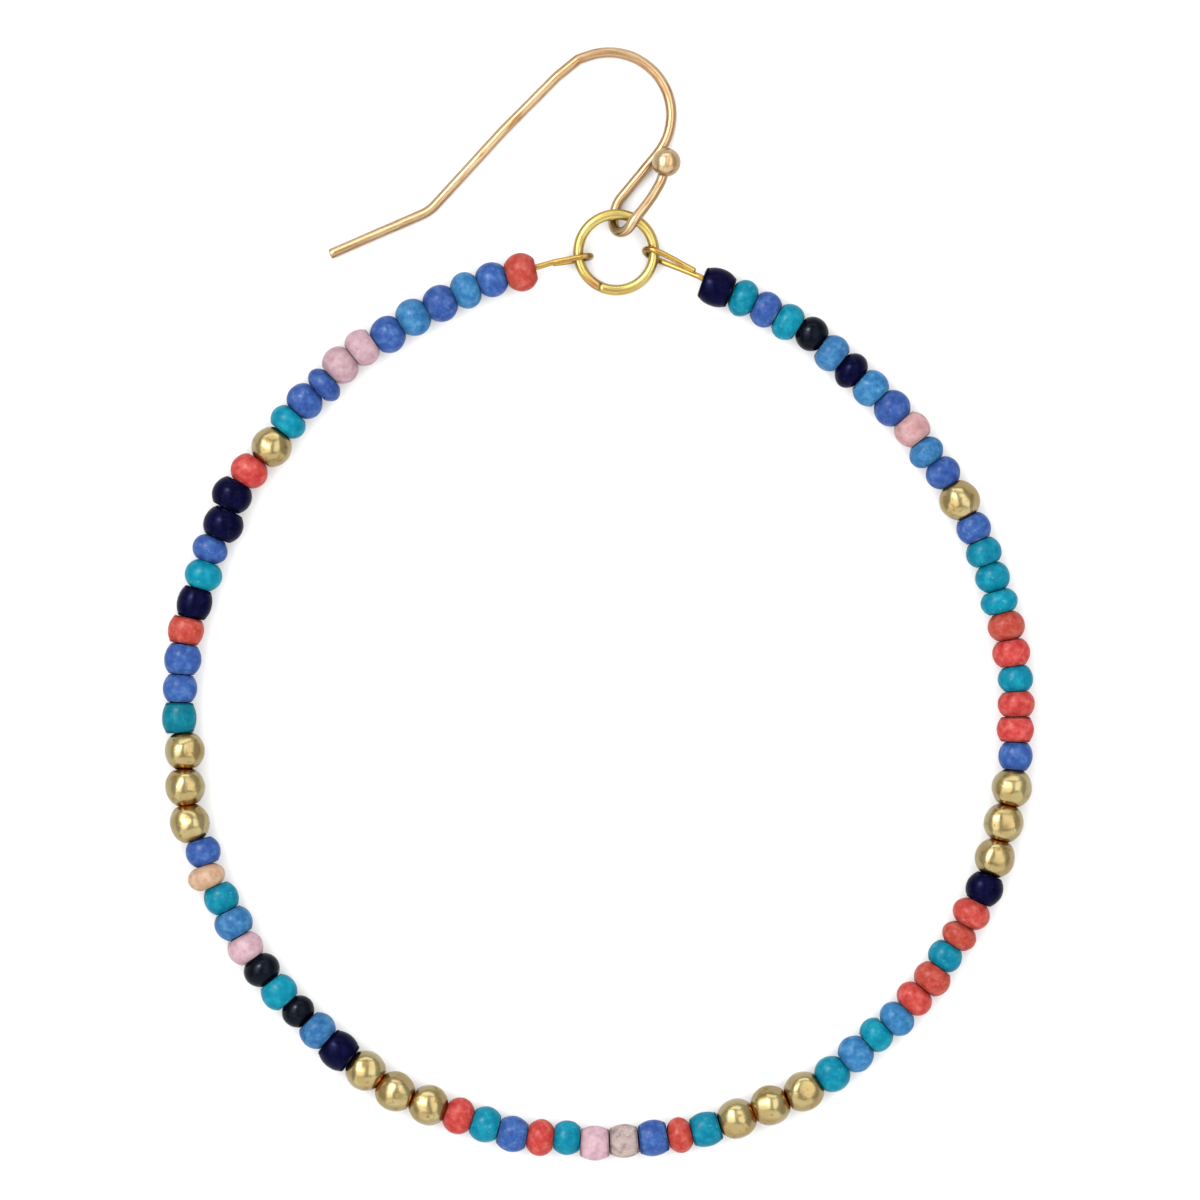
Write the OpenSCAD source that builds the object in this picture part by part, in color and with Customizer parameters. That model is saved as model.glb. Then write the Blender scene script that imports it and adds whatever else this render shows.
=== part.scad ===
// Seed bead earring, lying flat on z = 0, seen from above with the ear hook at the far side (+Y).
// A teardrop hoop of wire carries glass beads and gold beads, its two eyes hang on a jump ring,
// and an ear hook closes round the same ring. Everything is in millimetres.

/* [Hoop] */
// Centre-line radius of the bowl, the round lower part
bowl_radius = 31.3; // [31.1:0.05:31.5]
// Centre-line radius of the left shoulder
left_radius = 34.3; // [34:0.05:34.6]
// Centre-line radius of the right shoulder
right_radius = 35.2; // [34.9:0.05:35.5]
// Angle round the bowl at which the left shoulder begins
left_join = 194.6; // [193:0.1:196]
// Angle round the bowl at which the right shoulder begins
right_join = 360.8; // [359:0.1:362]
// Angle round the left shoulder at which the string of beads ends
left_end = 102.9; // [102.5:0.1:103.3]
// Angle round the right shoulder at which the string of beads ends
right_end = 430.8; // [430.4:0.1:431.2]
// Thickness of the stringing wire
string_wire = 0.4; // [0.3:0.02:0.42]
// Height of the stringing wire above the surface
string_height = 1.38; // [1.34:0.01:1.42]

/* [Beads] */
// Length of a gold bead along the string, its gap included
gold_length = 2.7; // [2.6:0.02:2.8]
// Diameter of a gold bead
gold_diameter = 3.1; // [3:0.02:3.2]
// Diameter of the hole through each bead
bore_diameter = 1.1; // [1.08:0.01:1.2]
// Gap between two beads
bead_gap = 0.17; // [0.16:0.01:0.2]
// Flat end face of a glass bead, as a share of its diameter
face_share = 0.62; // [0.6:0.01:0.64]
// How far a loose bead sits to one side of the string
side_step = 0.18; // [0:0.02:0.18]

/* [Ear hook] */
// Thickness of the hook's wire
hook_wire = 0.78; // [0.7:0.02:0.78]
// Length of the straight tail
tail_length = 7.15; // [7.1:0.01:7.2]
// Length of the leg between the tail and the arch
leg_length = 12.25; // [12.2:0.01:12.3]
// Centre-line radius of the arch
arch_radius = 4.69; // [4.67:0.01:4.71]
// Centre-line radius of the closed loop on the jump ring
loop_radius = 1.27; // [1.26:0.01:1.3]
// Diameter of the soldered end ball
ball_diameter = 2.16; // [2:0.02:2.2]

/* [Jump ring] */
// Centre-line radius of the jump ring
ring_radius = 2.85; // [2.83:0.01:2.88]
// Thickness of the jump ring's wire
ring_wire = 0.8; // [0.74:0.01:0.81]
// How far the jump ring leans, far side up
ring_lean = 6.3; // [6.1:0.1:6.6]
// Width of the hairline cut in the jump ring
ring_cut = 0.06; // [0.05:0.01:0.1]

/* [Hidden] */
$fn = 48;
first_gold_node = 4;

// The bowl's centre, and the point that the part's own origin is moved to.
bowl_centre = [0.1, -9.1];
middle = [0.04, -0.09, 0];

// The string from its left end down, round the bowl and up to its right end. Each glass bead is its
// colour's letter, its length along the string and its diameter. Gold beads stand between the runs.
letters = "cbmptndkxsr";
paints = [
    "Tomato", "RoyalBlue", "SteelBlue", "Plum", "DarkTurquoise", "MidnightBlue",
    "DarkCyan", "LightSalmon", "#0C0E1C", "RosyBrown", "LightPink",
];
runs = [
    [["c", 2.3, 2.9], ["b", 2.2, 2.6], ["m", 2.0, 2.8], ["b", 2.3, 2.8], ["m", 2.3, 2.8], ["b", 2.3, 2.8],
     ["p", 2.0, 2.8], ["p", 2.2, 2.9], ["b", 1.6, 2.9], ["b", 2.2, 2.8], ["t", 1.8, 2.8]],
    [["c", 2.2, 2.8], ["n", 2.2, 3.0], ["n", 2.3, 3.0], ["b", 1.9, 2.7], ["t", 2.1, 2.8], ["n", 2.3, 2.6],
     ["c", 2.0, 2.7], ["b", 2.3, 2.8], ["b", 2.1, 2.6], ["d", 2.3, 2.6]],
    [["b", 2.0, 2.6], ["k", 1.7, 2.9], ["t", 2.1, 2.6], ["m", 2.1, 2.9], ["p", 2.0, 2.7], ["x", 2.1, 2.8],
     ["t", 2.1, 2.8], ["x", 2.0, 2.5], ["m", 2.1, 2.8], ["n", 2.3, 2.9]],
    [["c", 2.1, 2.8], ["t", 2.1, 2.7], ["b", 2.2, 2.7], ["c", 2.0, 2.8], ["t", 2.0, 2.6], ["p", 2.2, 2.6],
     ["s", 2.2, 2.5], ["b", 2.2, 2.7], ["c", 1.8, 2.7], ["t", 2.2, 2.6]],
    [["t", 2.3, 2.7], ["m", 2.3, 2.8], ["t", 1.9, 2.7], ["m", 2.0, 2.8], ["c", 2.0, 2.8], ["c", 2.0, 2.8],
     ["t", 1.9, 2.6], ["c", 1.8, 2.7], ["c", 2.0, 2.9], ["n", 2.2, 2.8]],
    [["b", 2.1, 2.6], ["c", 1.9, 2.8], ["c", 1.9, 2.8], ["t", 1.9, 2.6], ["c", 2.0, 2.8], ["c", 2.1, 2.8],
     ["t", 1.7, 2.8], ["t", 2.1, 2.6], ["t", 1.9, 2.7], ["b", 2.0, 2.6]],
    [["b", 2.1, 2.6], ["m", 1.9, 2.7], ["r", 2.1, 2.7], ["b", 2.3, 2.8], ["m", 2.1, 2.8], ["n", 1.9, 2.8],
     ["m", 2.0, 2.8], ["x", 2.1, 2.6], ["t", 1.9, 2.8], ["b", 1.9, 2.7], ["t", 1.9, 2.8], ["n", 2.4, 2.9]],
];
gold_groups = [1, 3, 3, 3, 3, 1];
gold = ["gold", gold_length, gold_diameter];
// Beads, counted from the left end, that sit a little inside or outside the string.
inward = [6, 9, 12, 15, 23, 28, 31, 32, 40, 43, 54, 63, 80, 81];
outward = [2, 7, 14, 19, 20, 21, 24, 25, 27, 37, 38, 41, 44, 51, 61, 76, 83];

function strung(n = 0) =
    n == len(runs) ? [] :
    n == len(gold_groups) ? runs[n] :
    concat(runs[n], [for (j = [1 : gold_groups[n]]) gold], strung(n + 1));
beads = strung();
bead_count = len(beads);
gold_places = [for (i = [0 : bead_count - 1]) if (beads[i][0] == "gold") i];
glass_places = [for (i = [0 : bead_count - 1]) if (beads[i][0] != "gold") i];

// The hoop is three arcs that meet without a corner.
function towards(angle) = [cos(angle), sin(angle)];
function arc_length(radius, angle) = radius * angle * PI / 180;
function arc_angle(radius, length) = length / radius * 180 / PI;
left_centre = bowl_centre + (bowl_radius - left_radius) * towards(left_join);
right_centre = bowl_centre + (bowl_radius - right_radius) * towards(right_join);
left_length = arc_length(left_radius, left_join - left_end);
bowl_length = arc_length(bowl_radius, right_join - left_join);
right_length = arc_length(right_radius, right_end - right_join);
string_length = left_length + bowl_length + right_length;

// The point s along the string as [x, y, angle], the angle being that of the outward normal.
function arc_spot(centre, radius, angle) = concat(centre + radius * towards(angle), angle);
function spot_at(s) =
    s < left_length ?
        arc_spot(left_centre, left_radius, left_end + arc_angle(left_radius, s)) :
    s < left_length + bowl_length ?
        arc_spot(bowl_centre, bowl_radius, left_join + arc_angle(bowl_radius, s - left_length)) :
        arc_spot(right_centre, right_radius,
                 right_join + arc_angle(right_radius, s - left_length - bowl_length));

// The beads fill the string, so one factor stretches every length a little.
lengths = [for (bead = beads) bead[1]];
function sum_to(n) = n == 0 ? 0 : sum_to(n - 1) + lengths[n - 1];
starts = [for (i = [0 : bead_count]) sum_to(i)];
fill = string_length / starts[bead_count];
function holds(list, value) = len([for (v = list) if (v == value) v]) > 0;
function side_of(i) = holds(inward, i + 1) ? -side_step : holds(outward, i + 1) ? side_step : 0;

// A bead is a round profile turned about its hole, cut flat at both ends.
module bead(length, diameter, face) {
    radius = diameter / 2;
    half = length / 2;
    face_radius = face * radius;
    offset_out = (radius * radius - half * half - face_radius * face_radius) / 2 / (radius - face_radius);
    rotate_extrude()
        difference() {
            intersection() {
                translate([offset_out, 0]) circle(radius - offset_out);
                translate([0, -half]) square([diameter, length]);
            }
            translate([0, -length]) square([bore_diameter / 2, 2 * length]);
        }
}

// Lays a bead on the surface at its place along the string, its hole along the wire.
module on_string(i) {
    spot = spot_at(fill * (starts[i] + lengths[i] / 2));
    out = side_of(i) * towards(spot[2]);
    translate([spot[0] + out[0], spot[1] + out[1], beads[i][2] / 2]) rotate([90, 0, spot[2]]) children();
}

module glass_bead(i) {
    letter = beads[i][0];
    face = letter == "n" || letter == "x" ? face_share + 0.04 : face_share;
    color(paints[search(letter, letters)[0]])
        on_string(i) bead(fill * lengths[i] - bead_gap, beads[i][2], face);
}

// A gold bead is a ball with flat ends.
module gold_bead(i) {
    length = gold_length - bead_gap;
    ball_face = sqrt(1 - pow(length / gold_diameter, 2));
    color("Goldenrod")
        on_string(i) bead(length, gold_diameter, ball_face);
}

module glass_beads() {
    for (i = glass_places) glass_bead(i);
}

// A bent wire runs along +X. Each row is [feed, roll, bend, radius]: feed straight, then bend through an
// angle at a radius. Roll 0 bends to the left (+Y), 90 up, 180 to the right and 270 down. A row with no
// bend is straight. Balls of a slightly larger radius join the pieces and round both ends.
joint_extra = 0.005;
trim = 0.01;
module joint_ball(thickness) {
    rotate([0, 90, 0]) sphere(thickness / 2 + joint_extra);
}

module bent_wire(rows, thickness, n = 0) {
    joint_ball(thickness);
    if (n == len(rows)) {
        children();
    } else {
        feed = rows[n][0];
        roll = rows[n][1];
        bend = rows[n][2];
        radius = rows[n][3];
        if (feed > 0)
            translate([trim, 0, 0]) rotate([0, 90, 0]) cylinder(d = thickness, h = feed - 2 * trim);
        translate([feed, 0, 0]) {
            if (bend == 0) {
                bent_wire(rows, thickness, n + 1) children();
            } else {
                if (feed > 0) joint_ball(thickness);
                rotate([roll, 0, 0]) translate([0, radius, 0]) {
                    arc_wire(radius, thickness, -90, bend - 90);
                    rotate([0, 0, bend]) translate([0, -radius, 0]) rotate([-roll, 0, 0])
                        bent_wire(rows, thickness, n + 1) children();
                }
            }
        }
    }
}

// A round arc of wire about the origin, cut short by the trim at both ends.
module arc_wire(radius, thickness, from, to) {
    trim_angle = arc_angle(radius, trim);
    rotate([0, 0, from + trim_angle]) rotate_extrude(angle = to - from - 2 * trim_angle)
        translate([radius, 0]) circle(d = thickness);
}

// The eyes of the hoop wire, from inside the end beads: out to the ring, round its wire and back.
left_eye = [[3.55, 138, 7.75, 2], [2, 263, 187, 0.68], [0.5, 262, 14, 1.2], [1.4, 0, 0, 0]];
right_eye = [[2.55, 285, 20, 1.5], [2.98, 90, 18.3, 1.2], [0.15, 108, 184, 0.84], [0.6, 0, 6, 2],
             [2.3, 0, 0, 0]];
left_eye_start = 2.3;
right_eye_start = 2.4;
right_eye_turn = 4.5;

module string_arc(centre, radius, from, to) {
    translate([centre[0], centre[1], string_height]) arc_wire(radius, string_wire, from, to);
}

// Stands at the point s of the string, +X pointing out of the hoop.
module at_spot(s) {
    spot = spot_at(s);
    translate([spot[0], spot[1], string_height]) rotate([0, 0, spot[2]]) children();
}

module hoop_wire() {
    left_start = left_end + arc_angle(left_radius, left_eye_start);
    right_start = right_end - arc_angle(right_radius, right_eye_start);
    color("Gold") {
        string_arc(left_centre, left_radius, left_start, left_join);
        string_arc(bowl_centre, bowl_radius, left_join, right_join);
        string_arc(right_centre, right_radius, right_join, right_start);
        at_spot(left_length) rotate([0, 0, 90]) joint_ball(string_wire);
        at_spot(left_length + bowl_length) rotate([0, 0, 90]) joint_ball(string_wire);
        at_spot(left_eye_start) rotate([0, 0, -90]) bent_wire(left_eye, string_wire);
        at_spot(string_length - right_eye_start) rotate([0, 0, 90 - right_eye_turn])
            bent_wire(right_eye, string_wire);
    }
}

// The ring lies between the strands of both eyes and inside the hook's loop.
ring_centre = [1.37, 26.32, 0.94];
cut_angle = 244.5;
module jump_ring() {
    half_cut = arc_angle(ring_radius, ring_cut) / 2;
    color("Gold") translate(ring_centre) rotate([ring_lean, 0, 0]) rotate([0, 0, cut_angle + half_cut])
        rotate_extrude(angle = 360 - 2 * half_cut) translate([ring_radius, 0]) circle(d = ring_wire);
}

// The hook from its tail: a bend, the slightly bowed leg, a sharp bend, the arch, and the loop that
// passes under the ring and comes back over it to the end ball.
tail_tip = [-19.8, 26.33];
tail_heading = 23.4;
bowed_length = 5.15;
hook_rows = [
    [tail_length, 0, 24.2, 3],
    [leg_length - bowed_length, 180, 2.4, 20],
    [bowed_length, 180, 6.2, 4],
    [1.7, 180, 19.9, 0.6],
    [0.72, 180, 148.8, arch_radius],
    [4.2, 0, 23, 2],
    [0.5, 53, 155, loop_radius],
    [0, 1, 27, 1.5],
    [0.8, 86, 14, 10],
    [1.6, 0, 0, 0],
];

module ear_hook() {
    color("BurlyWood") translate([tail_tip[0], tail_tip[1], hook_wire / 2 + joint_extra])
        rotate([0, 0, tail_heading])
            bent_wire(hook_rows, hook_wire) rotate([0, 90, 0]) sphere(d = ball_diameter);
}

module placed() {
    translate(-middle) children();
}

placed() ear_hook();
placed() jump_ring();
placed() hoop_wire();
placed() glass_beads();
for (i = [0 : len(gold_places) - 1])
    placed() gold_bead(gold_places[i]);
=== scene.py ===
# %% [markdown]
# # A seed bead earring
#
# The real earring is a long drop of glass seed beads and round gold beads, strung on a thin gold wire
# that is bent to a teardrop. An eye at each end of that wire goes round a jump ring, and the ear hook
# closes on the same ring. It lies flat on a white table and is seen from straight above.
#
# The notebook first loads the measured solids as a frame, then sets up the camera, the table and the
# lights. After that it models each wire and bead with the tools of edit mode, and paints them last.

# %% Load the measured frame
import math
import random
import re
import bpy
from mathutils import Matrix, Vector


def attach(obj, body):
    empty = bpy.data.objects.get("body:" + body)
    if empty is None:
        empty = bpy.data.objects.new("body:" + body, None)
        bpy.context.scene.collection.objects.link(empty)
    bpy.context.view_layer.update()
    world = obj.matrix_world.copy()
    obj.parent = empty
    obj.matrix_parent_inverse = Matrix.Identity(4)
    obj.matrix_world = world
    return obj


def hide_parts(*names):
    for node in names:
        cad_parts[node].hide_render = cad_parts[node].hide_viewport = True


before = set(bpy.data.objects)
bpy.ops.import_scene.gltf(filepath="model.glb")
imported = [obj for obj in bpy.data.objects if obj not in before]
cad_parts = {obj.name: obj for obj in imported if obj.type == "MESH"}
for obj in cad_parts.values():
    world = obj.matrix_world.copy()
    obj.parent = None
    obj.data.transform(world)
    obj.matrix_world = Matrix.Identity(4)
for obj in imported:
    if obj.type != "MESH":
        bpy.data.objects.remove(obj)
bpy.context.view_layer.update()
MM = 0.001
print("solids in the frame:", len(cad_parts))

# %% [markdown]
# ## Camera
#
# The earring was photographed from straight above. A long lens from far away keeps the hoop free of
# perspective: at 0.8 m, a 320 mm lens on a 36 mm sensor covers 90 mm of the table. The camera is level
# with nothing tilted, so its turn stays at zero.

# %% Set up the camera
picture_width = 90 * MM
picture_x, picture_y = 0.11 * MM, 0.315 * MM
middle_height = 1.4 * MM
camera_distance = 800 * MM
sensor_width = 36
camera_place = (picture_x, picture_y, camera_distance + middle_height)
bpy.ops.object.camera_add(location=camera_place, rotation=(0, 0, 0))
camera = bpy.context.object
camera.name = "camera"
camera.data.sensor_width = sensor_width
camera.data.lens = sensor_width * camera_distance / picture_width
bpy.context.scene.camera = camera
print("lens in mm:", round(camera.data.lens))

# %% [markdown]
# ## Colours and finishes
#
# A real surface is never one flat colour, so every finish here is a small net of nodes that ends in one
# Principled shader. Nodes can be added by hand in the Shader Editor. Here a short class does it, in
# which a word with a capital is the socket of that name, and its value is a number, a colour or what
# another node puts out. Colours are written as they show in the picture, and `paint` turns each one
# into the darker colour that comes out right under the bright lamps.

# %% Turn a picture's colour into paint
lamp_level = 2.40


def paint(red, green, blue):
    """A colour as it shows in the picture, 0 to 255, as the shader's colour under the lamps."""
    shares = [value / 255 for value in (red, green, blue)]
    linear = [share / 12.92 if share < 0.04045 else ((share + 0.055) / 1.055) ** 2.4 for share in shares]
    return (*[value / lamp_level for value in linear], 1)


print("white paint:", [round(value, 3) for value in paint(255, 255, 255)])

# %% A finish and its nodes
MIX_SHARE, MIX_FIRST, MIX_SECOND, MIX_RESULT = 0, 6, 7, 2


class Finish:
    """A material with one Principled shader, and short ways to add nodes before it."""

    def __init__(self, name):
        self.material = bpy.data.materials.new(name)
        self.material.use_nodes = True
        self.tree = self.material.node_tree
        self.shader = self.tree.nodes["Principled BSDF"]

    def connect(self, value, socket):
        """Links another node's output to a socket, or sets the socket to a constant."""
        if isinstance(value, bpy.types.NodeSocket):
            self.tree.links.new(value, socket)
        else:
            socket.default_value = value

    def fill(self, node, **sockets):
        """Gives a node's sockets their values, by their names."""
        for name, value in sockets.items():
            self.connect(value, node.inputs[name.replace("_", " ")])
        return node

    def add(self, kind, **sockets):
        """A new node with its sockets filled."""
        return self.fill(self.tree.nodes.new(kind), **sockets)

    def place(self):
        """Each point's place on the piece, in metres."""
        return self.add("ShaderNodeTexCoord").outputs["Object"]

    def carried(self, name, output="Fac"):
        """A value that the mesh carries at each of its points."""
        node = self.add("ShaderNodeAttribute")
        node.attribute_name = name
        return node.outputs[output]

    def noise(self, place, scale, detail, roughness=0.5):
        """A cloudy pattern between 0 and 1, with about that many clouds to the metre."""
        node = self.add("ShaderNodeTexNoise", Vector=place, Scale=scale, Detail=detail, Roughness=roughness)
        return node.outputs["Fac"]

    def scaled(self, value, given, wanted=(0, 1)):
        """A value with its given range drawn out to the wanted one, and held at both ends."""
        node = self.add("ShaderNodeMapRange", Value=value, From_Min=given[0], From_Max=given[1],
                        To_Min=wanted[0], To_Max=wanted[1])
        return node.outputs["Result"]

    def ramp(self, value, *stops):
        """A run of colours, each given with the value at which it is full."""
        node = self.add("ShaderNodeValToRGB", Fac=value)
        elements = node.color_ramp.elements
        elements[0].position, elements[0].color = stops[0]
        elements[1].position, elements[1].color = stops[-1]
        for position, colour in stops[1:-1]:
            elements.new(position).color = colour
        return node.outputs["Color"]

    def mix(self, share, first, second):
        """A colour between two others, where a share of 1 is all of the second."""
        node = self.add("ShaderNodeMix")
        node.data_type = "RGBA"
        self.connect(share, node.inputs[MIX_SHARE])
        self.connect(first, node.inputs[MIX_FIRST])
        self.connect(second, node.inputs[MIX_SECOND])
        return node.outputs[MIX_RESULT]

    def bump(self, height, distance, strength=1, **sockets):
        """Light as on a surface that rises by that distance, while the mesh stays as it is."""
        node = self.add("ShaderNodeBump", Height=height, Distance=distance, Strength=strength, **sockets)
        return node.outputs["Normal"]


# %% [markdown]
# ## Table
#
# The table is a sheet of matt white card that burns out to plain white in the picture. A filled circle
# is large enough for every view.

# %% Lay the table
table_radius = 1.5
fibres_per_metre = 900
bpy.ops.object.select_all(action="DESELECT")
bpy.ops.mesh.primitive_circle_add(vertices=96, radius=table_radius, fill_type="NGON", location=(0, 0, 0))
table = bpy.context.object
table.name = "table"
card = Finish("white_card")
fibres = card.noise(card.place(), fibres_per_metre, 3)
whites = card.ramp(fibres, (0, (0.65, 0.65, 0.65, 1)), (1, (0.68, 0.68, 0.68, 1)))
card.fill(card.shader, Base_Color=whites, Roughness=0.9, Specular_IOR_Level=0.2)
table.data.materials.append(card.material)
print("table radius in m:", round(table.dimensions.x / 2, 2))

# %% [markdown]
# ## Light
#
# Polished gold shows the studio. Each gold bead mirrors two tall windows in its upper half, the left
# one white and the right one weaker, with a dark slot between them for the camera. Below a thin dark
# line comes an even glow from a wide reflector at the front. A narrow panel at the back brightens the
# arch of the hook, and a small hot spot in front of the left window makes its reflection white. A ready
# picture of a studio could be mirrored instead, but with lamps each reflection goes where it belongs.
#
# The glass is much less shiny than the gold, and its one soft glint sits at the upper left. So that
# glint has a lamp of its own, which reaches the glass alone. The hot spot and the glint lamp show in
# gloss and don't light matt surfaces, because the shadows would turn hard. All lamps are kept out of
# the camera's sight, and a pale room fills the shadows.

# %% Hang the lights
def softbox(name, turn, lean, distance, width, height, radiance):
    """A rectangular lamp that faces the middle, at a turn from +X and a lean from overhead."""
    place = distance * Vector((
        math.sin(math.radians(lean)) * math.cos(math.radians(turn)),
        math.sin(math.radians(lean)) * math.sin(math.radians(turn)),
        math.cos(math.radians(lean)),
    ))
    back = place.normalized()
    across = Vector((0, 1, 0)).cross(back).normalized()
    squared_up = Matrix((across, back.cross(across), back)).transposed().to_euler()
    bpy.ops.object.light_add(type="AREA", location=place, rotation=squared_up)
    lamp = bpy.context.object
    lamp.name = name
    lamp.data.shape = "RECTANGLE"
    lamp.data.size = width
    lamp.data.size_y = height
    lamp.data.energy = math.pi * width * height * radiance
    lamp.visible_camera = False
    print(name, "gives", round(lamp.data.energy, 2), "W")
    return lamp


softbox("left_window", turn=166, lean=34, distance=0.75, width=0.60, height=1.10, radiance=3.2)
softbox("right_window", turn=18, lean=30, distance=0.75, width=0.56, height=1.00, radiance=2.6)
softbox("front_reflector", turn=270, lean=66, distance=0.75, width=1.90, height=0.80, radiance=1.5)
softbox("back_panel", turn=90, lean=64, distance=0.75, width=0.80, height=0.24, radiance=3.2)
hot_spot = softbox("hot_spot", turn=152, lean=34, distance=0.73, width=0.32, height=0.44, radiance=8.5)
glint_lamp = softbox("glint_lamp", turn=128, lean=40, distance=0.71, width=0.18, height=0.18, radiance=85)
for lamp in (hot_spot, glint_lamp):
    lamp.visible_diffuse = False

# %% Fill the room
room_colour = (1, 0.99, 0.98, 1)
room_strength = 0.92
world = bpy.data.worlds.new("pale_room")
bpy.context.scene.world = world
world.use_nodes = True
background = world.node_tree.nodes["Background"]
background.inputs["Color"].default_value = room_colour
background.inputs["Strength"].default_value = room_strength
bpy.context.scene.view_settings.view_transform = "Standard"

# %% [markdown]
# ## The hoop's line
#
# The string is a teardrop of three arcs that meet without a corner: a left shoulder, a round bowl and
# a right shoulder. Every bead and both ends of the wire find their place by their distance along it,
# so one small function answers the question of where a point of the string is.

# %% Measure the string
# The arcs start, meet and end at these angles, in degrees from +X.
left_end, left_join, right_join, right_end = 102.9, 194.6, 360.8, 430.8
bowl_centre = Vector((0.06, -9.01, 0)) * MM
bowl_radius = 31.3 * MM
left_radius = 34.3 * MM
right_radius = 35.2 * MM
string_height = 1.38 * MM


def towards(angle):
    """The level direction at an angle in degrees from +X."""
    return Vector((math.cos(math.radians(angle)), math.sin(math.radians(angle)), 0))


left_centre = bowl_centre + (bowl_radius - left_radius) * towards(left_join)
right_centre = bowl_centre + (bowl_radius - right_radius) * towards(right_join)
left_length = left_radius * math.radians(left_join - left_end)
bowl_length = bowl_radius * math.radians(right_join - left_join)
string_length = left_length + bowl_length + right_radius * math.radians(right_end - right_join)


def spot_at(distance):
    """The point at a distance along the string, and the angle that points out of the hoop there."""
    if distance < left_length:
        centre, radius, angle = left_centre, left_radius, left_end + math.degrees(distance / left_radius)
    elif distance < left_length + bowl_length:
        centre, radius = bowl_centre, bowl_radius
        angle = left_join + math.degrees((distance - left_length) / bowl_radius)
    else:
        centre, radius = right_centre, right_radius
        angle = right_join + math.degrees((distance - left_length - bowl_length) / right_radius)
    return centre + radius * towards(angle), angle


print("string length in mm:", round(string_length / MM, 2))

# %% [markdown]
# ## Bending wire
#
# A goldsmith bends wire by feeding it through the pliers: so much straight, then a bend round a round
# jaw. A curve with a bevel would give the same tube, but its bends are never true arcs. So the wire
# starts as a circle, its cross-section, which is extruded for each straight stretch and spun for each
# bend, while a small note of place and direction is kept. The length travelled is noted too, because
# the marks of drawing run along a wire, and the gold needs it later.

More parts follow.
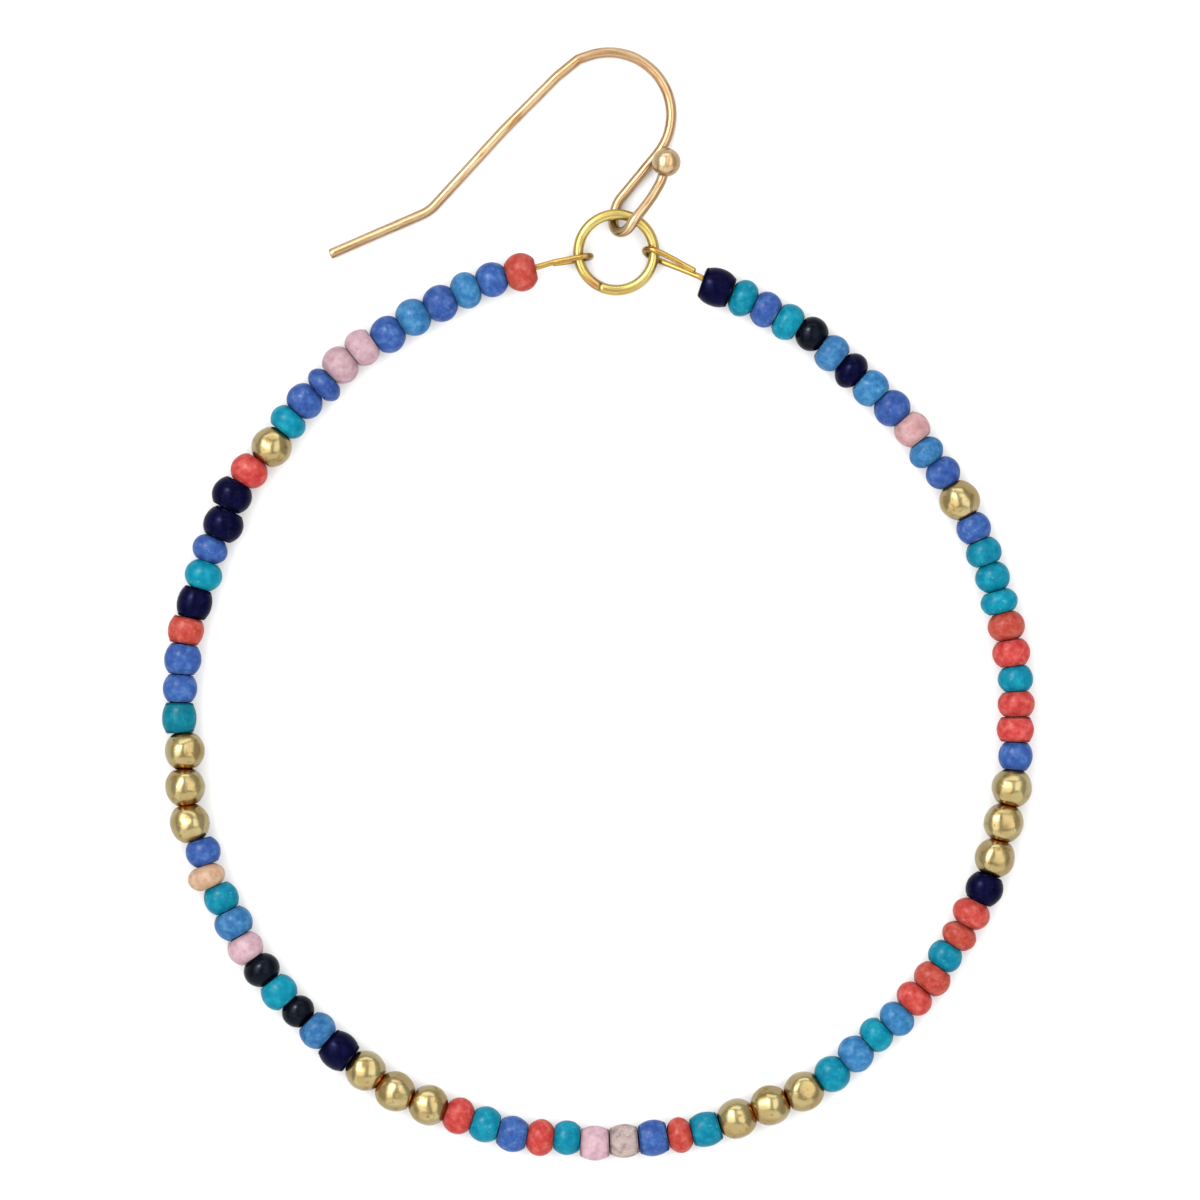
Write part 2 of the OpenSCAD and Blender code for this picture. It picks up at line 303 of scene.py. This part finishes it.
# %% A wire and its pliers
class Wire:
    """A round wire that grows from its first ring. Bends roll 0 to the left, 90 up, 180 right, 270 down."""

    # A step of a bend turns by no more degrees and is no longer than this.
    widest_turn = 6
    longest_step = 1.2 * MM
    # The last ring of a rounded end, as a share of the wire's radius.
    pole_share = 0.02

    def __init__(self, name, thickness, place, along, up=(0, 0, 1), around=24):
        self.radius = thickness / 2
        self.around = around
        self.travel = [0.0]
        self.point(place, along, up, way=1)
        bpy.ops.object.select_all(action="DESELECT")
        turn = Matrix((self.left, self.up, self.along)).transposed().to_euler()
        bpy.ops.mesh.primitive_circle_add(vertices=around, radius=self.radius, location=self.place,
                                          rotation=turn)
        self.piece = bpy.context.object
        self.piece.name = name
        bpy.ops.object.transform_apply(location=True, rotation=True, scale=True)
        bpy.ops.object.mode_set(mode="EDIT")
        bpy.ops.mesh.select_mode(type="VERT")
        bpy.ops.mesh.select_all(action="SELECT")

    def point(self, place, along, up, way):
        """Notes where the wire grows from, in which direction, and whether it travels on or back."""
        self.place = Vector(place)
        self.along = Vector(along).normalized()
        self.up = Vector(up).normalized()
        self.left = self.up.cross(self.along)
        self.here = 0.0
        self.way = way
        self.reach = self.radius

    def feed(self, length, reach=None):
        """Straight on by a length, and to another radius by the end of it."""
        step = self.along * length
        bpy.ops.mesh.extrude_region_move(TRANSFORM_OT_translate={"value": step})
        self.place = self.place + step
        self.here += self.way * length
        self.travel.append(self.here)
        if reach is not None:
            share = reach / self.reach
            bpy.ops.transform.resize(value=(share, share, share), center_override=self.place)
            self.reach = reach

    def bend(self, roll, angle, radius):
        """Round a jaw of that centre-line radius, through an angle in degrees."""
        side = math.cos(math.radians(roll)) * self.left + math.sin(math.radians(roll)) * self.up
        centre = self.place + radius * side
        axle = self.along.cross(side)
        arc = math.radians(angle) * radius
        steps = max(2, math.ceil(angle / self.widest_turn), math.ceil(arc / self.longest_step))
        bpy.ops.mesh.spin(steps=steps, angle=-math.radians(angle), center=centre, axis=axle)
        turn = Matrix.Rotation(math.radians(angle), 3, axle)
        self.place = centre + turn @ (self.place - centre)
        self.along = turn @ self.along
        self.left = turn @ self.left
        self.up = turn @ self.up
        for _ in range(steps):
            self.here += self.way * arc / steps
            self.travel.append(self.here)

    def rows(self, *table):
        """One row after the other: a straight in mm, then a bend by its roll, degrees and jaw in mm."""
        for length, roll, angle, radius in table:
            if length > 0:
                self.feed(length * MM)
            if angle > 0:
                self.bend(roll, angle, radius * MM)

    def round_off(self, depth, steps):
        """Draws the end together to a dome, or to a lens where depth is small."""
        height = self.reach * depth
        full = self.reach
        for step in range(1, steps):
            share = step / steps * math.pi / 2
            before = (step - 1) / steps * math.pi / 2
            self.feed(height * (math.sin(share) - math.sin(before)), full * math.cos(share))
        self.feed(height * (1 - math.sin((steps - 1) / steps * math.pi / 2)), full * self.pole_share)
        self.close()

    def close(self):
        """Fills the last ring with a face."""
        bpy.ops.mesh.edge_face_add()

    def back_to_start(self, place, along, up=(0, 0, 1)):
        """Selects the first ring again, to grow the wire from there the other way."""
        bpy.ops.object.mode_set(mode="OBJECT")
        for index, vertex in enumerate(self.piece.data.vertices):
            vertex.select = index < self.around
        for edge in self.piece.data.edges:
            edge.select = all(end < self.around for end in edge.vertices)
        for face in self.piece.data.polygons:
            face.select = False
        bpy.ops.object.mode_set(mode="EDIT")
        self.point(place, along, up, way=-1)

    def hand_over(self, node):
        """Points the faces outwards, notes each point's place on the wire and hides the solid it replaces.
        """
        bpy.ops.mesh.select_all(action="SELECT")
        bpy.ops.mesh.normals_make_consistent(inside=False)
        bpy.ops.object.mode_set(mode="OBJECT")
        bpy.ops.object.shade_smooth()
        drawn = self.piece.data.attributes.new("drawn", "FLOAT_VECTOR", "POINT")
        for index, point in enumerate(drawn.data):
            turn = 2 * math.pi * (index % self.around) / self.around
            across = self.radius * towards(math.degrees(turn))
            point.vector = (across.x, across.y, self.travel[index // self.around])
        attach(self.piece, "root")
        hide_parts(node)
        print(self.piece.name, "has", len(self.piece.data.polygons), "faces")
        return self.piece


# %% [markdown]
# ## Ear hook
#
# The hook is one wire of pale rose gold: a straight tail that goes through the ear, a long leg, an
# arch, and a small loop that passes under the jump ring and comes back over it to a soldered ball. The
# ball could be a sphere of its own. Here it is part of the same surface, ring by ring, and the wire
# enters it with hardly a fillet, as solder leaves it. The last bend turns the wire's end behind the
# ball, which hides it.

# %% Bend the ear hook
hook_wire = 0.78 * MM
tail_start = Vector((-19.84, 26.415, 0.395)) * MM
tail_angle = 23.4
tail_stub = 0.3 * MM
hook = Wire("ear_hook_wire", hook_wire, tail_start, towards(tail_angle))
hook.rows(
    (7.15, 0, 24.2, 3),
    (7.1, 180, 2.4, 20),
    (5.15, 180, 6.2, 4),
    (1.7, 180, 19.9, 0.6),
    (0.72, 180, 148.8, 4.69),
    (4.2, 0, 23, 2),
    (0.5, 53, 155, 1.27),
    (0, 1, 33, 1.5),
    (0.8, 86, 12, 10),
    (0.1, 160, 26, 1.6),
)

# %% Grow the ball and close the tail
ball_radius = 1.08 * MM
ball_reach = 1.02
lowest_ring, ring_step = -66, 6
pole_radius = 0.01 * MM
ball_centre = hook.place + hook.along * ball_reach * MM
outline = [(ball_radius * math.sin(math.radians(angle)), ball_radius * math.cos(math.radians(angle)))
           for angle in range(lowest_ring, 90, ring_step)]
for height, reach in [*outline, (ball_radius, pole_radius)]:
    target = ball_centre + hook.along * height
    hook.feed((target - hook.place).dot(hook.along), reach)
hook.close()
hook.back_to_start(tail_start, -towards(tail_angle))
hook.feed(tail_stub)
hook.round_off(0.2, 4)
ear_hook = hook.hand_over("ear_hook")

# %% [markdown]
# ## Jump ring
#
# A jump ring is a turn of wire sawn off a coil, and its hairline cut stays open. It leans a little,
# because it rests on the strands of the eyes. A torus has no cut, so the ring is one long bend from one
# side of the cut to the other, and both sawn ends are closed nearly flat.

# %% Bend the jump ring
ring_wire = 0.8 * MM
ring_radius = 2.85 * MM
ring_centre = Vector((1.33, 26.41, 0.94)) * MM
ring_lean = Matrix.Rotation(math.radians(6.3), 3, "X")
cut_angle = 244.5
cut_width = 0.02 * MM
sawn_dome = 0.06
half_cut = math.degrees(cut_width / 2 / ring_radius)
first = cut_angle + half_cut
ring_start = ring_centre + ring_lean @ (ring_radius * towards(first))
ring_along = ring_lean @ towards(first + 90)
ring_up = ring_lean @ Vector((0, 0, 1))
ring = Wire("jump_ring_wire", ring_wire, ring_start, ring_along, ring_up)
ring.bend(0, 360 - 2 * half_cut, ring_radius)
ring.round_off(sawn_dome, 3)
ring.back_to_start(ring_start, -ring_along, ring_up)
ring.round_off(sawn_dome, 3)
jump_ring = ring.hand_over("jump_ring")

# %% [markdown]
# ## Stringing wire
#
# One thin gold wire runs through all beads. At each end it leaves the last bead, goes round the jump
# ring and comes back beside itself towards the bead. It starts here just inside the left end, follows
# the three arcs, and makes the right eye. Then the first ring is picked up again for the left eye.

# %% Bend the stringing wire
string_wire = 0.44 * MM
left_start = 2.3 * MM
right_start = string_length - 2.4 * MM
cut_end = 0.6
spot, angle = spot_at(left_start)
start_place = spot + Vector((0, 0, string_height))
wire = Wire("hoop_wire_strand", string_wire, start_place, towards(angle + 90), around=16)
wire.bend(0, left_join - angle, left_radius)
wire.bend(0, right_join - left_join, bowl_radius)
wire.bend(0, spot_at(right_start)[1] - right_join, right_radius)
wire.rows(
    (0, 180, 4.5, 0.3),
    (2.526, 285, 20, 1.5),
    (2.98, 90, 18.3, 1.2),
    (0.15, 108, 184, 0.84),
    (0.6, 0, 6, 2),
    (2.3, 0, 0, 0),
)
wire.round_off(cut_end, 3)
wire.back_to_start(start_place, towards(angle - 90))
wire.rows(
    (3.55, 138, 7.75, 2),
    (2, 263, 187, 0.68),
    (0.5, 262, 14, 1.2),
    (1.4, 0, 0, 0),
)
wire.round_off(cut_end, 3)
hoop_wire = wire.hand_over("hoop_wire")

# %% [markdown]
# ## Bead shapes
#
# A seed bead is a slice of a drawn glass tube, tumbled hot until it is nearly a ball with flat ends. So
# each master starts as a sphere. A Cast modifier draws it towards a cylinder for the stubborn beads
# that stayed squarish, both ends are cut flat, their rims are eased, and a hole is made by an inset on
# both ends and a bridge between them. A boolean would also drill it, but it leaves a ragged mesh. Every
# master ends one in radius and one in half length, so that a copy is easily stretched to its size.

# %% Helpers for selecting and drilling
NEAR = 1e-4
hole_rim = 0.03


def only(piece):
    """Selects one object and nothing else, and makes it the active one."""
    bpy.ops.object.select_all(action="DESELECT")
    piece.select_set(True)
    bpy.context.view_layer.objects.active = piece


def pick(piece, kind, test):
    """In edit mode, selects the edges or faces that pass a test, and nothing else."""
    bpy.ops.object.mode_set(mode="EDIT")
    bpy.ops.mesh.select_mode(type=kind)
    bpy.ops.mesh.select_all(action="DESELECT")
    bpy.ops.object.mode_set(mode="OBJECT")
    for thing in (piece.data.edges if kind == "EDGE" else piece.data.polygons):
        thing.select = bool(test(thing))
    bpy.ops.object.mode_set(mode="EDIT")


def on_rim(piece, edge, height, reach=math.inf):
    """Whether an edge lies in one of the two end planes, and within a distance of the hole's axis."""
    first, last = (piece.data.vertices[index].co for index in edge.vertices)
    flat = abs(abs(first.z) - height) < NEAR * height and abs(first.z - last.z) < NEAR * height
    return flat and max(first.xy.length, last.xy.length) < reach


def drill(piece, height, face_radius, bore):
    """Makes the hole through a turned bead, and eases the hole's rims."""
    # The two flat ends are the only level faces with many corners.
    pick(piece, "FACE", lambda face: abs(face.normal.z) > 0.999 and len(face.vertices) > 8)
    bpy.ops.mesh.inset(thickness=face_radius - bore)
    bpy.ops.mesh.bridge_edge_loops()
    bpy.ops.object.mode_set(mode="OBJECT")
    pick(piece, "EDGE", lambda edge: on_rim(piece, edge, height, bore * 1.02))
    bpy.ops.mesh.bevel(offset=hole_rim, segments=2, profile=0.5, affect="EDGES")
    bpy.ops.object.mode_set(mode="OBJECT")


# %% Turn the masters
def turned_master(name, cut, squareness, rim, bore, segments=36, rings=24):
    """A drilled ball with flat ends, drawn a little towards a cylinder, one in radius and half length."""
    bpy.ops.object.select_all(action="DESELECT")
    bpy.ops.mesh.primitive_uv_sphere_add(segments=segments, ring_count=rings, radius=1)
    master = bpy.context.object
    master.name = name
    if squareness > 0:
        cast = master.modifiers.new("cast", "CAST")
        cast.cast_type = "CYLINDER"
        cast.factor = squareness
        cast.size = 1
        bpy.ops.object.modifier_apply(modifier=cast.name)
    for end in (1, -1):
        bpy.ops.object.mode_set(mode="EDIT")
        bpy.ops.mesh.select_all(action="SELECT")
        bpy.ops.mesh.bisect(plane_co=(0, 0, end * cut), plane_no=(0, 0, end), use_fill=True,
                            clear_outer=True)
        bpy.ops.object.mode_set(mode="OBJECT")
    pick(master, "EDGE", lambda edge: on_rim(master, edge, cut))
    bpy.ops.mesh.bevel(offset=rim, segments=4, profile=0.5, affect="EDGES")
    bpy.ops.object.mode_set(mode="OBJECT")
    face_radius = max(v.co.xy.length for v in master.data.vertices if abs(abs(v.co.z) - cut) < NEAR)
    drill(master, cut, face_radius, bore)
    bpy.ops.object.mode_set(mode="EDIT")
    bpy.ops.mesh.select_all(action="SELECT")
    bpy.ops.transform.resize(value=(1, 1, 1 / cut))
    bpy.ops.object.mode_set(mode="OBJECT")
    bpy.ops.object.shade_smooth()
    # Only the sides may get lumps, so that the ends stay flat and the hole stays round.
    sides = master.vertex_groups.new(name="sides")
    for vertex in master.data.vertices:
        if vertex.co.xy.length > bore * 1.2:
            sides.add([vertex.index], max(0, 1 - abs(vertex.co.z) ** 3), "REPLACE")
    print(name, "faces:", len(master.data.polygons), "face radius:", round(face_radius, 2))
    return master


masters = {
    "o": turned_master("ball_master", cut=0.85, squareness=0, rim=0.06, bore=0.38),
    "m": turned_master("middle_master", cut=0.82, squareness=0.12, rim=0.10, bore=0.38),
    "q": turned_master("square_master", cut=0.80, squareness=0.26, rim=0.16, bore=0.38),
}

# %% [markdown]
# ## Stringing chart
#
# The beads come in eleven glass colours, in an order without any repeat, so the chart is read off the
# string. A bead is its colour's letter, its length in tenths of a millimetre, the letter of its
# shape (o for a ball, m for the middle shape, q for a squarish one) and its diameter in tenths. G is a
# gold bead. A sign and a digit say how far it sits outside or inside the wire's line, in tenths.

# %% Write the stringing chart
chart = """
c23o29 b22o26+1 m20o28 b23o28-1 m23o28-1 b23o28-2 p20m28+1 p22o29+1 b16o29-2 b22o28 t18m28-1 G-3
c22o28+1 n22m30+3 n23m30-1 b19o27+1 t21o28-1 n23q26 c20q27+2 b23m28+1 b21m26+1 d23q26+1 G-2 G+1 G+3
b20m26-1 k17o29+3 t21m26-1 m21m29-1 p20m27+1 x21o28 t21m28 x20o25-1 m21m28-1 n23q29 G G+2 G
c21o28-1 t21m27-1 b22m27+1 c20o28 t20m26-2 p22q26+1 s22q25 b22q27 c18o27+1 t22q26+1 G G G+2
t23o27+2 m23o28 t19m27-1 m20o28+1 c20o28 c20m28+1 t19m26-1 c18o27 c20o29 n22m28+1 G G-1 G
b21m26 c19q28-1 c19m28 t19m26+1 c20m28 c21o28 t17m28-1 t21o26 t19m27 b20m26 G
b21o26 m19o27-2 r21m27 b23o28-1 m21m28-2 n19o28-2 m20m28-1 x21o26+2 t19m28 b19m27 t19o28 n24q29
"""
bead_pattern = r"([a-zG])(\d\d)?([omq])?(\d\d)?([+-]\d)?"
gold_length, gold_diameter = 27, 30.5


def tenths(number):
    """A number of tenths of a millimetre, in metres."""
    return float(number) * MM / 10


beads = []
for letter, length, shape, diameter, side in re.findall(bead_pattern, chart):
    if letter == "G":
        length, diameter = gold_length, gold_diameter
    beads.append((letter, tenths(length), shape, tenths(diameter), tenths(side or 0)))
fill = string_length / sum(bead[1] for bead in beads)
print("beads:", len(beads), "gold:", sum(bead[0] == "G" for bead in beads))

# %% [markdown]
# ## Stringing the glass beads
#
# Each glass bead is a copy of a master with a mesh of its own, stretched to its size. Its points are
# then carried over to the string: the distance along the hole becomes distance along the wire, so
# neighbours meet face to face round the bend, as they do when the string is pulled tight. No two real
# beads are alike, so each one is a little flatter by a seeded draw, and keeps a number of its own for
# its tone. Each point also keeps its distance from the middle of its bead, for the darker ends. Beads
# of one colour are joined, and a soft cloud pattern makes them slightly lumpy. A Curve modifier could
# bend the string as well, but then the beads and the wire would each have a line of their own.

# %% Lay a bead on the string
chance = random.Random(41)
least_flat, most_flat = 0.02, 0.05
touch = 0.004 * MM
lift = 0.036 * MM


def lay(master, start, length, diameter, side):
    """A copy of a master on the string, resting on the table, with its tone and its ends marked."""
    bead = master.copy()
    bead.data = master.data.copy()
    bpy.context.collection.objects.link(bead)
    ends = [abs(vertex.co.z) for vertex in bead.data.vertices]
    height = 1 - chance.uniform(least_flat, most_flat)
    bead.scale = (diameter / 2, diameter / 2 * height, (fill * length - touch) / 2)
    only(bead)
    bpy.ops.object.transform_apply(location=True, rotation=True, scale=True)
    middle = fill * (start + length / 2)
    for vertex in bead.data.vertices:
        spot, angle = spot_at(middle - vertex.co.z)
        place = spot + (vertex.co.x + side) * towards(angle)
        vertex.co = (place.x, place.y, vertex.co.y + height * diameter / 2 + lift)
    tone = bead.data.attributes.new("bead_tone", "FLOAT", "POINT")
    tone.data.foreach_set("value", [chance.random()] * len(ends))
    rims = bead.data.attributes.new("bead_end", "FLOAT", "POINT")
    rims.data.foreach_set("value", ends)
    return bead


# %% Press lumps into a surface
lump_depth = 0.09 * MM
resting_level = 0.6


def press(piece, size):
    """Makes the sides slightly lumpy with a cloud pattern, more often inwards than outwards."""
    clouds = bpy.data.textures.new(piece.name + "_clouds", "CLOUDS")
    clouds.noise_scale = size
    clouds.noise_depth = 0
    only(piece)
    lumps = piece.modifiers.new("lumps", "DISPLACE")
    lumps.texture = clouds
    lumps.texture_coords = "LOCAL"
    lumps.mid_level = resting_level
    lumps.strength = lump_depth
    lumps.vertex_group = "sides"
    bpy.ops.object.modifier_apply(modifier=lumps.name)


# %% String the glass beads
glass_names = {"c": "coral", "b": "royal_blue", "m": "sky_blue", "p": "pink", "t": "turquoise",
               "n": "navy", "d": "teal", "k": "peach", "x": "ink", "s": "stone", "r": "salmon"}
plumpness = 1.02
strung = {letter: [] for letter in glass_names}
gold_places = []
start = 0.0
for letter, length, shape, diameter, side in beads:
    if letter == "G":
        gold_places.append((start, length, diameter, side))
    else:
        strung[letter].append(lay(masters[shape], start, length, plumpness * diameter, side))
    start += length
print("glass beads:", sum(len(copies) for copies in strung.values()))

# %% Join the beads of each colour
glass_pieces = {}
for letter, copies in strung.items():
    only(copies[0])
    for bead in copies:
        bead.select_set(True)
    if len(copies) > 1:
        bpy.ops.object.join()
    piece = bpy.context.object
    piece.name = "beads_" + glass_names[letter]
    press(piece, 2.0 * MM)
    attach(piece, "root")
    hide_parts("glass_beads")
    glass_pieces[letter] = piece
    print(piece.name, "holds", len(copies), "beads,", len(piece.data.polygons), "faces")

# %% [markdown]
# ## Gold beads
#
# The gold beads are polished balls with flat ends where they meet their neighbours. A sphere is cut
# flat at both ends, and gets its hole in the same way as the glass. It has more faces, because a mirror
# shows every corner. Polishing by hand leaves the beads slightly lumpy, so the cloud pattern presses
# smaller dents into them, others in each copy.

# %% Model and place the gold beads
gold_master = turned_master("gold_master", cut=0.88, squareness=0, rim=0.05, bore=0.36,
                            segments=48, rings=32)
gold_pieces = []
for order, (start, length, diameter, side) in enumerate(gold_places, 1):
    bead = lay(gold_master, start, length, diameter, side)
    bead.name = f"gold_ball_{order:02d}"
    press(bead, 1.5 * MM)
    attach(bead, "root")
    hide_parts(f"gold_bead_{order:02d}")
    gold_pieces.append(bead)
print("gold beads:", len(gold_pieces), "faces each:", len(gold_pieces[0].data.polygons))
for master in [*masters.values(), gold_master]:
    bpy.data.objects.remove(master)

# %% [markdown]
# ## Opaque glass
#
# The glass is dense and satin: colour goes right to the surface, with cloudy mottling, small pale
# specks and one soft highlight. A noise pattern mixes the main colour with a paler and a deeper one,
# and the number that each bead carries shifts its tone as a whole. Towards the holes the colour is
# painted darker, partly as painted shade between two beads and partly as the deeper colour of the
# glass where beads meet. A second, finer noise makes the gloss patchy and the surface slightly
# uneven. Light that scatters inside the glass would be slower to render, and this glass is too dense
# to need it.
#
# Eleven colours are mixed in this way. Navy and ink are nearly black, so their gloss is tinted blue,
# or it would grey them. Stone has by far the most specks.

# %% A recipe for the glass
clouds_per_metre = 1700
grains_per_metre = 2800
grain_height = 0.04 * MM


def glass(name, main, pale, deep, rough=0.30, specks=0.12, bump=0.08, gloss=0.05, sheen=(1, 1, 1, 1)):
    """Opaque satin glass in three shades of one colour."""
    finish = Finish(name)
    place = finish.place()
    cloud = finish.noise(place, clouds_per_metre, 4, 0.6)
    shades = finish.ramp(cloud, (0.32, deep), (0.51, main), (0.70, pale))
    own = finish.carried("bead_tone")
    light = finish.scaled(own, (0, 1), (0.90, 1.10))
    hue = finish.scaled(own, (0, 1), (0.504, 0.496))
    toned = finish.add("ShaderNodeHueSaturation", Color=shades, Value=light, Hue=hue).outputs["Color"]
    # Painted shade, partly the glass's own deeper colour: darker towards the holes, where beads meet.
    end_shade_and_deep_tone = [0.3 * value for value in deep[:3]] + [1]
    in_light = finish.scaled(finish.carried("bead_end"), (0.55, 1), (1, 0.72))
    end_shaded_and_deepened = finish.mix(in_light, end_shade_and_deep_tone, toned)
    grain = finish.noise(place, grains_per_metre, 3, 0.6)
    speck = [0.5 * value + 0.3 for value in pale[:3]] + [1]
    specked = finish.mix(finish.scaled(grain, (0.62, 0.72), (0, specks)), end_shaded_and_deepened, speck)
    satin = finish.scaled(grain, (0.3, 0.7), (rough - 0.03, rough + 0.07))
    uneven = finish.bump(grain, grain_height, bump)
    finish.fill(finish.shader, Base_Color=specked, Roughness=satin, Normal=uneven,
                Specular_IOR_Level=gloss, Specular_Tint=sheen)
    return finish.material


# %% Paint the glass
glasses = {
    "c": glass("coral_glass", paint(214, 84, 74), paint(230, 118, 108), paint(194, 58, 52)),
    "b": glass("royal_blue_glass", paint(63, 101, 178), paint(92, 130, 198), paint(46, 80, 158)),
    "m": glass("sky_blue_glass", paint(63, 133, 192), paint(96, 163, 211), paint(42, 109, 171)),
    "p": glass("pink_glass", paint(221, 182, 193), paint(234, 202, 210), paint(202, 158, 172)),
    "t": glass("turquoise_glass", paint(2, 147, 177), paint(34, 170, 194), paint(0, 126, 161)),
    "n": glass("navy_glass", paint(7, 6, 46), paint(14, 12, 60), paint(3, 3, 34),
               rough=0.26, specks=0.02, bump=0.05, gloss=0.04, sheen=(0.42, 0.46, 1, 1)),
    "d": glass("teal_glass", paint(2, 136, 159), paint(28, 158, 175), paint(0, 116, 141)),
    "k": glass("peach_glass", paint(222, 184, 151), paint(236, 205, 179), paint(204, 159, 125)),
    "x": glass("ink_glass", paint(5, 9, 22), paint(12, 20, 34), paint(2, 4, 15),
               rough=0.22, specks=0.02, bump=0.05, gloss=0.06, sheen=(0.68, 0.8, 1, 1)),
    "s": glass("stone_glass", paint(204, 183, 177), paint(222, 205, 197), paint(162, 134, 138),
               rough=0.40, specks=0.6),
    "r": glass("salmon_glass", paint(214, 165, 165), paint(226, 187, 187), paint(196, 142, 144)),
}
for letter, piece in glass_pieces.items():
    piece.data.materials.append(glasses[letter])
print("glass colours:", len(glasses))

# %% Keep the glint on the glass alone
receivers = bpy.data.collections.new("glass_only")
for piece in glass_pieces.values():
    receivers.objects.link(piece)
glint_lamp.light_linking.receiver_collection = receivers

# %% [markdown]
# ## Gold
#
# Four golds show: a pale brass colour on the polished beads, yellow on the ring, a browner one on the
# stringing wire, and a champagne colour on the hook. All are metal, so their look comes from what they
# mirror. What makes them real is small: a waviness left by polishing, fine pits, and gloss that isn't
# even everywhere. The larger dents are in the mesh, and noise adds the finer marks, which would take
# too many faces. On a wire the marks are long, because it was drawn through a die. The ends of the
# beads are painted brown: partly the plating's own brown, where polish never reaches, and partly
# painted reflection and shade where two gold beads meet. The ring has a reddish stain beside its cut.

# %% A recipe for gold
# Painted reflection and shade, partly the plating's own colour: the brown at the gold beads' ends.
end_brown_reflection_and_wear = paint(226, 140, 50)
red_stain = paint(206, 132, 108)
stain_start, stain_full = 1.4 * MM, 0.6 * MM


def gold(name, main, dull, rough, lump_scale, lumps, pits, along=False, stain=None):
    """Polished metal with soft lumps, sparse pits and uneven gloss, drawn lengthwise on a wire."""
    finish = Finish(name)
    source = finish.carried("drawn", "Vector") if along else finish.place()
    stretch = (1, 1, 0.12) if along else (1, 1, 1)
    spot = finish.add("ShaderNodeMapping", Vector=source, Scale=stretch).outputs["Vector"]
    lumpy = finish.noise(spot, lump_scale, 0.5, 0.4)
    fine = finish.noise(spot, lump_scale * 3, 2)
    pit = finish.scaled(fine, (0.30, 0.42))
    warmed = finish.mix(finish.scaled(lumpy, (0.40, 0.60), (0.40, 0)), main, dull)
    colour = finish.mix(pit, dull, warmed)
    # Painted reflection and shade, partly real wear: the gold beads turn brown towards their ends.
    end_reflection_shade_and_wear = finish.scaled(finish.carried("bead_end"), (0.78, 1), (0, 0.8))
    colour = finish.mix(end_reflection_shade_and_wear, colour, end_brown_reflection_and_wear)
    if stain:
        travel = finish.add("ShaderNodeSeparateXYZ", Vector=source).outputs["Z"]
        by_the_cut = finish.scaled(travel, (stain - stain_start, stain - stain_full), (0, 0.45))
        colour = finish.mix(by_the_cut, colour, red_stain)
    gloss = finish.scaled(fine, (0.3, 0.7), (rough + 0.07, rough - 0.03))
    waves = finish.bump(lumpy, lumps)
    pitted = finish.bump(pit, pits, Normal=waves)
    finish.fill(finish.shader, Base_Color=colour, Roughness=gloss, Normal=pitted, Metallic=1)
    return finish.material


# %% Paint the gold
ring_length = ring_radius * math.radians(360 - 2 * half_cut)
wire_marks = {"lump_scale": 1500, "lumps": 0.004 * MM, "pits": 0.001 * MM, "along": True}
bead_gold = gold("polished_bead_gold", paint(208, 192, 138), paint(182, 142, 80), rough=0.225,
                 lump_scale=700, lumps=0.3 * MM, pits=0.004 * MM)
ring_gold = gold("yellow_gold_ring", paint(240, 219, 132), paint(209, 157, 74), rough=0.27,
                 stain=ring_length, **wire_marks)
strand_gold = gold("brown_gold_strand", paint(232, 191, 104), paint(152, 102, 44), rough=0.24,
                   **wire_marks)
hook_gold = gold("champagne_gold_wire", paint(238, 207, 161), paint(194, 134, 85), rough=0.265,
                 **wire_marks)
for metal, pieces in ((bead_gold, gold_pieces), (ring_gold, [jump_ring]), (strand_gold, [hoop_wire]),
                      (hook_gold, [ear_hook])):
    for piece in pieces:
        piece.data.materials.append(metal)
    print(metal.name, "is on", len(pieces), "of the pieces")
